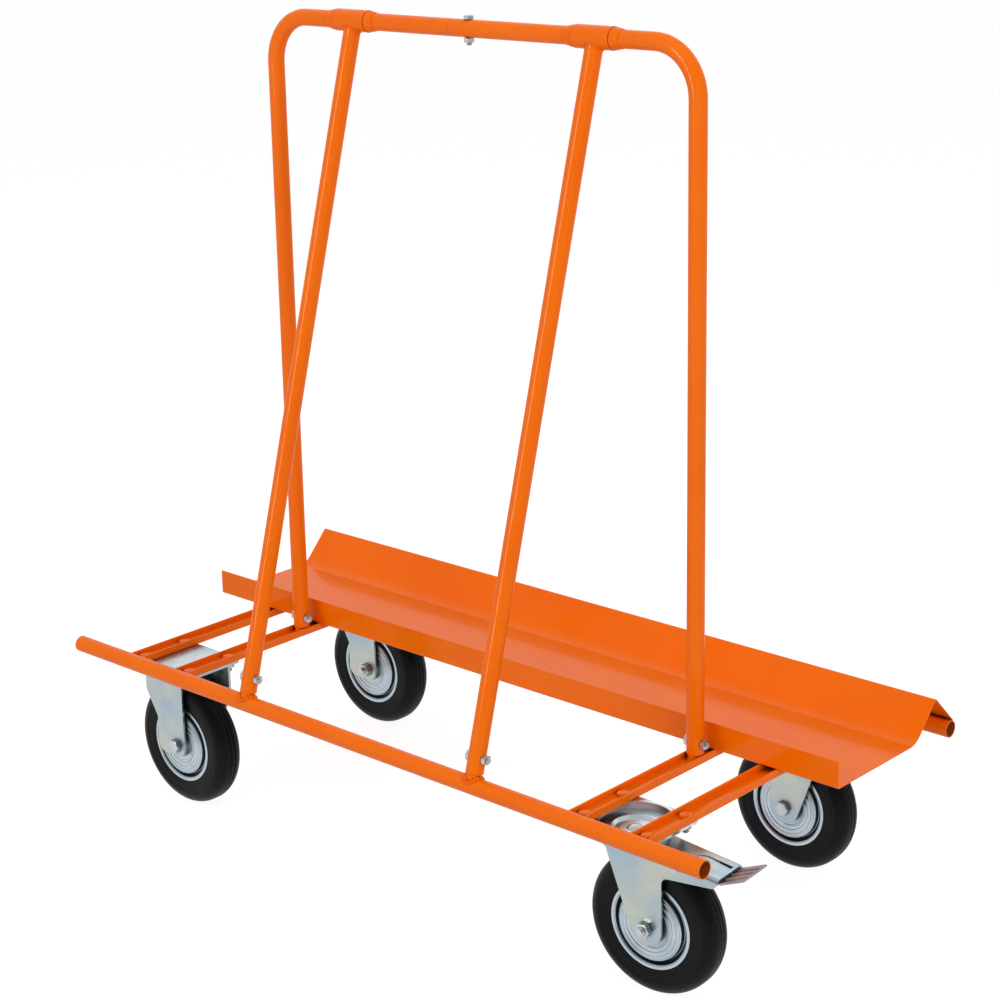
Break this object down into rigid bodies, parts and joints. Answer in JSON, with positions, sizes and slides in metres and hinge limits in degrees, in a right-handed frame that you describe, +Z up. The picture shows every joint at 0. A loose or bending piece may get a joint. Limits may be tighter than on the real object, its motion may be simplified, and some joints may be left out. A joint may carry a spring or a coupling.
{
  "type": "drywall cart",
  "caption": "Low panel cart with a bent sheet tray, an upright tube hoop on raking legs, rigid casters at one end and braked swivel casters at the other.",
  "frame": {"origin": "on the floor, under the middle of the base", "axes": "+X along the tray towards the swivel casters, -Y towards the front rail, +Z up"},
  "size_m": [1.2566, 0.6, 1.2382],
  "materials": {
    "orange_paint": "glossy orange powder coat on steel",
    "zinc_sheet": "bright zinc-plated pressed steel sheet",
    "zinc_rim": "bright zinc-plated pressed steel rim",
    "zinc_fastener": "zinc-plated steel fastener",
    "bearing_steel": "plain ground steel",
    "pedal_steel": "zinc-plated pressed steel with a pinkish cast",
    "black_rubber": "solid black rubber, satin"
  },
  "bodies": {
    "frame": {"front_rail": "orange_paint", "rear_rail": "orange_paint", "left_outer_bar": "orange_paint", "left_inner_bar": "orange_paint", "right_inner_bar": "orange_paint", "right_outer_bar": "orange_paint", "tray": "orange_paint", "hoop_spigots": "orange_paint", "leg_spigots": "orange_paint", "left_hoop": "orange_paint", "right_hoop": "orange_paint", "hoop_splice": "orange_paint", "stop_collars": "orange_paint", "left_sleeve": "orange_paint", "right_sleeve": "orange_paint", "left_leg": "orange_paint", "right_leg": "orange_paint", "caster_bolts": "orange_paint", "frame_bolts": "zinc_fastener", "frame_nuts": "zinc_fastener", "caster_nuts": "zinc_fastener", "front_left_bracket": "zinc_sheet", "front_left_axle": "zinc_fastener", "front_left_axle_nut": "zinc_fastener", "front_left_spacer": "bearing_steel", "rear_left_bracket": "zinc_sheet", "rear_left_axle": "zinc_fastener", "rear_left_axle_nut": "zinc_fastener", "rear_left_spacer": "bearing_steel", "front_right_plate": "zinc_sheet", "front_right_king_pin": "zinc_fastener", "rear_right_plate": "zinc_sheet", "rear_right_king_pin": "zinc_fastener"},
    "front_left_wheel": {"front_left_hub": "zinc_rim", "front_left_rim": "zinc_rim", "front_left_tyre": "black_rubber"},
    "rear_left_wheel": {"rear_left_hub": "zinc_rim", "rear_left_rim": "zinc_rim", "rear_left_tyre": "black_rubber"},
    "front_right_wheel": {"front_right_hub": "zinc_rim", "front_right_rim": "zinc_rim", "front_right_tyre": "black_rubber"},
    "rear_right_wheel": {"rear_right_hub": "zinc_rim", "rear_right_rim": "zinc_rim", "rear_right_tyre": "black_rubber"},
    "front_right_swivel": {"front_right_balls": "bearing_steel", "front_right_fork": "zinc_sheet", "front_right_axle": "zinc_fastener", "front_right_axle_nut": "zinc_fastener", "front_right_spacer": "bearing_steel", "front_right_brake_pin": "zinc_fastener"},
    "front_right_brake": {"front_right_brake_lever": "pedal_steel"},
    "rear_right_swivel": {"rear_right_balls": "bearing_steel", "rear_right_fork": "zinc_sheet", "rear_right_axle": "zinc_fastener", "rear_right_axle_nut": "zinc_fastener", "rear_right_spacer": "bearing_steel", "rear_right_brake_pin": "zinc_fastener"},
    "rear_right_brake": {"rear_right_brake_lever": "pedal_steel"}
  },
  "joints": [
    {"name": "front_left_wheel_spin", "type": "hinge", "parent": "frame", "child": "front_left_wheel", "pos_m": [-0.4505, -0.214, 0.1], "axis": [0, 1, 0], "continuous": true},
    {"name": "rear_left_wheel_spin", "type": "hinge", "parent": "frame", "child": "rear_left_wheel", "pos_m": [-0.4505, 0.2075, 0.1], "axis": [0, 1, 0], "continuous": true},
    {"name": "front_right_swivel_turn", "type": "hinge", "parent": "frame", "child": "front_right_swivel", "pos_m": [0.4505, -0.214, 0.2125], "axis": [0, 0, 1], "continuous": true},
    {"name": "front_right_wheel_spin", "type": "hinge", "parent": "front_right_swivel", "child": "front_right_wheel", "pos_m": [0.48738, -0.21097, 0.1], "axis": [-0.0819, 0.9966, 0], "continuous": true},
    {"name": "front_right_brake_press", "type": "hinge", "parent": "front_right_swivel", "child": "front_right_brake", "pos_m": [0.53222, -0.20728, 0.198], "axis": [-0.0819, 0.9966, 0], "range_deg": [0, 5]},
    {"name": "rear_right_swivel_turn", "type": "hinge", "parent": "frame", "child": "rear_right_swivel", "pos_m": [0.4505, 0.2075, 0.2125], "axis": [0, 0, 1], "continuous": true},
    {"name": "rear_right_wheel_spin", "type": "hinge", "parent": "rear_right_swivel", "child": "rear_right_wheel", "pos_m": [0.4135, 0.2075, 0.1], "axis": [0, -1, 0], "continuous": true},
    {"name": "rear_right_brake_press", "type": "hinge", "parent": "rear_right_swivel", "child": "rear_right_brake", "pos_m": [0.3685, 0.2075, 0.198], "axis": [0, -1, 0], "range_deg": [0, 5]}
  ]
}
